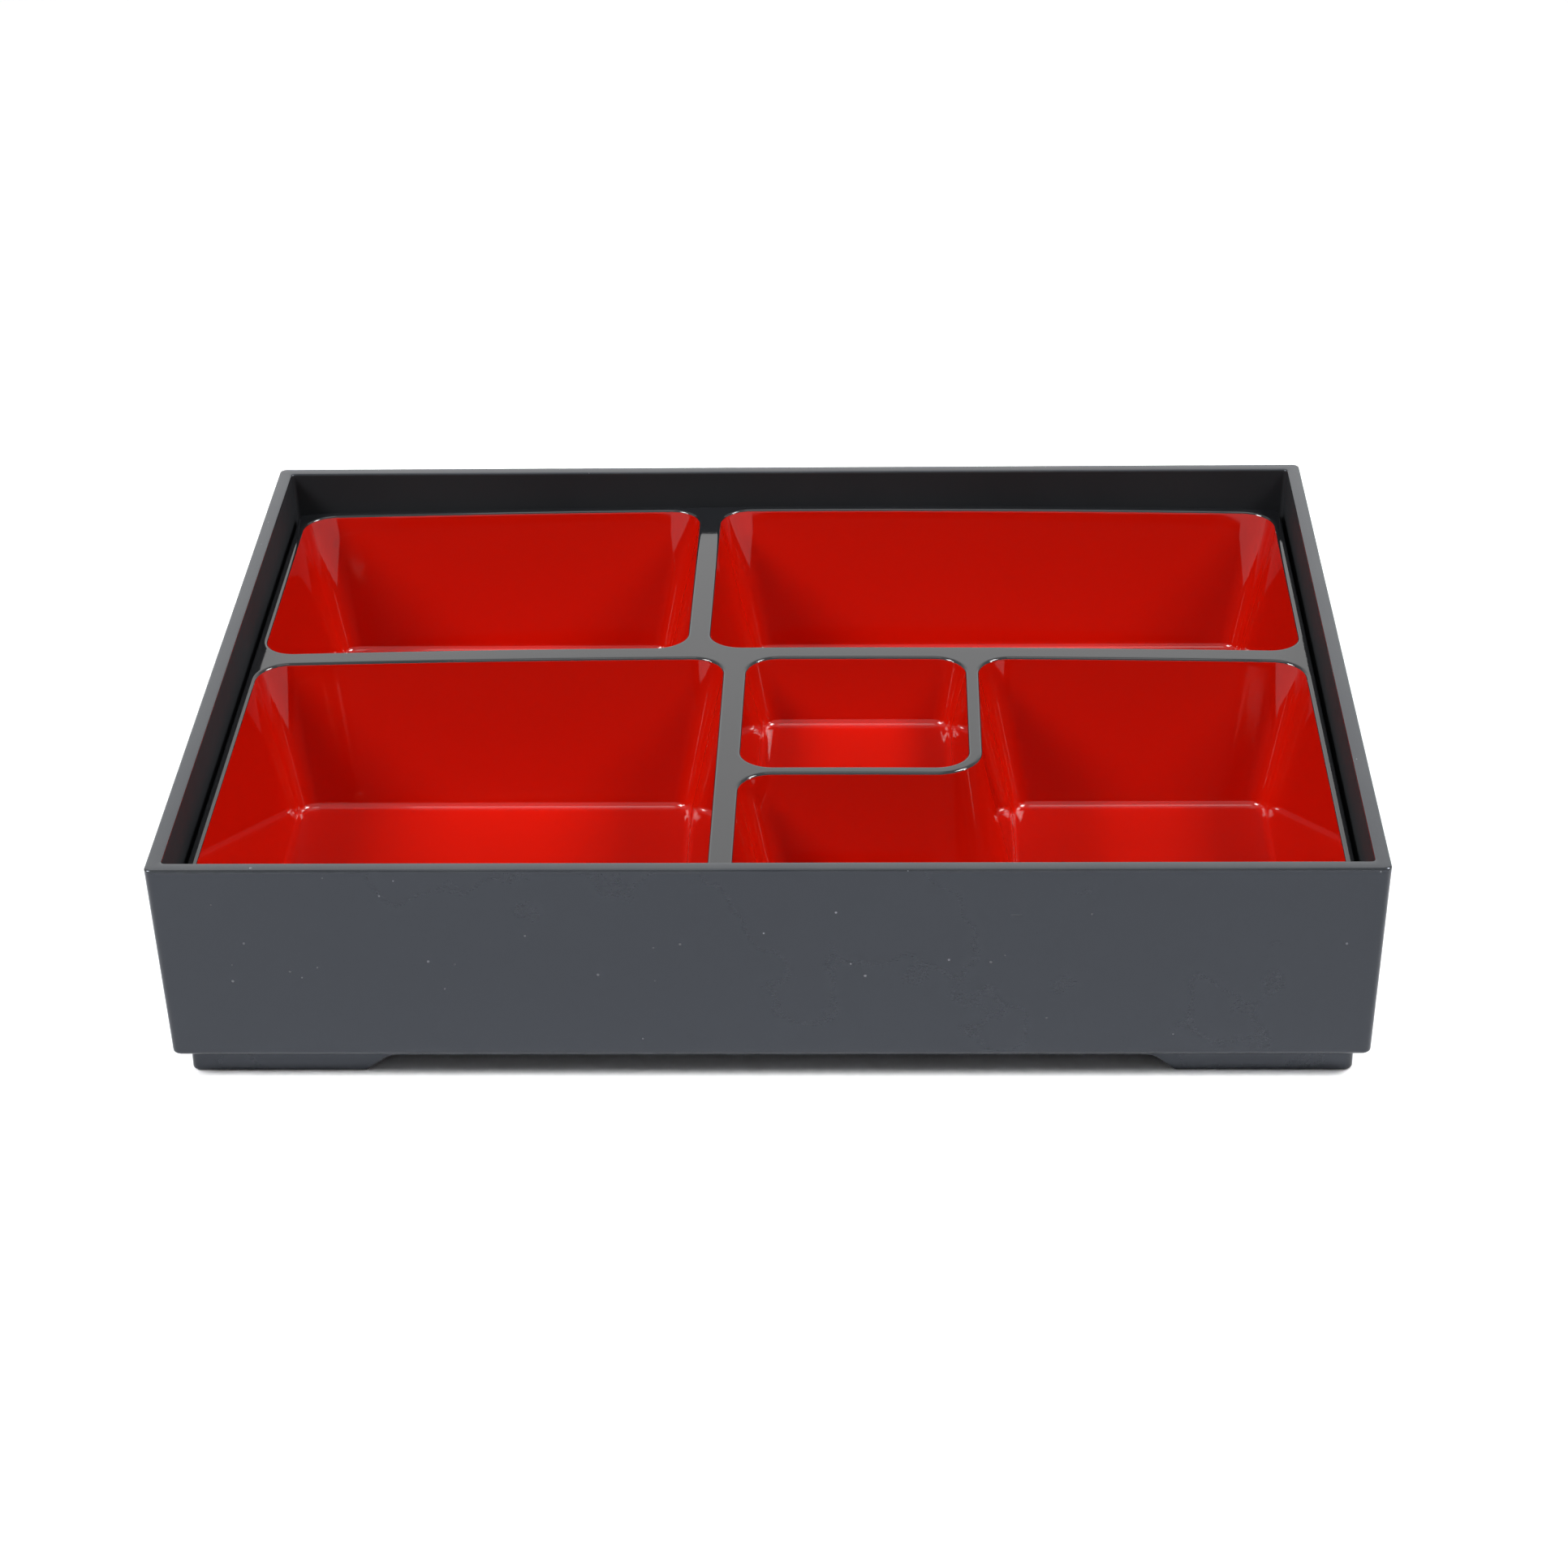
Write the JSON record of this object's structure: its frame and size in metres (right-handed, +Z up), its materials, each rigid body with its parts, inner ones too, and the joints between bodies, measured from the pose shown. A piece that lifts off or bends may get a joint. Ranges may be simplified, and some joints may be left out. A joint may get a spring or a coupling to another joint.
{
  "type": "bento box",
  "caption": "Open rectangular bento box on corner feet, black satin plastic, with a lift-out tray of red lacquered wells in unequal sizes, one of them L-shaped.",
  "frame": {"origin": "middle of the footprint, on the surface that the feet stand on", "axes": "+X along the box's longer side, to the right seen from the front; +Y from the front to the back; +Z up"},
  "size_m": [0.273, 0.215, 0.0555],
  "materials": {
    "black_plastic": "satin moulded ABS",
    "red_lacquer": "gloss sprayed lacquer"
  },
  "bodies": {
    "outer_box": {"outer_box": "black_plastic"},
    "tray": {"compartment_tray": "black_plastic", "lacquer_back_left": "red_lacquer", "lacquer_back_right": "red_lacquer", "lacquer_front_left": "red_lacquer", "lacquer_small": "red_lacquer", "lacquer_corner": "red_lacquer"}
  },
  "joints": [
    {"name": "tray_lift", "type": "slide", "parent": "outer_box", "child": "tray", "axis": [0, 0, 1], "range_m": [0, 0.06]}
  ]
}
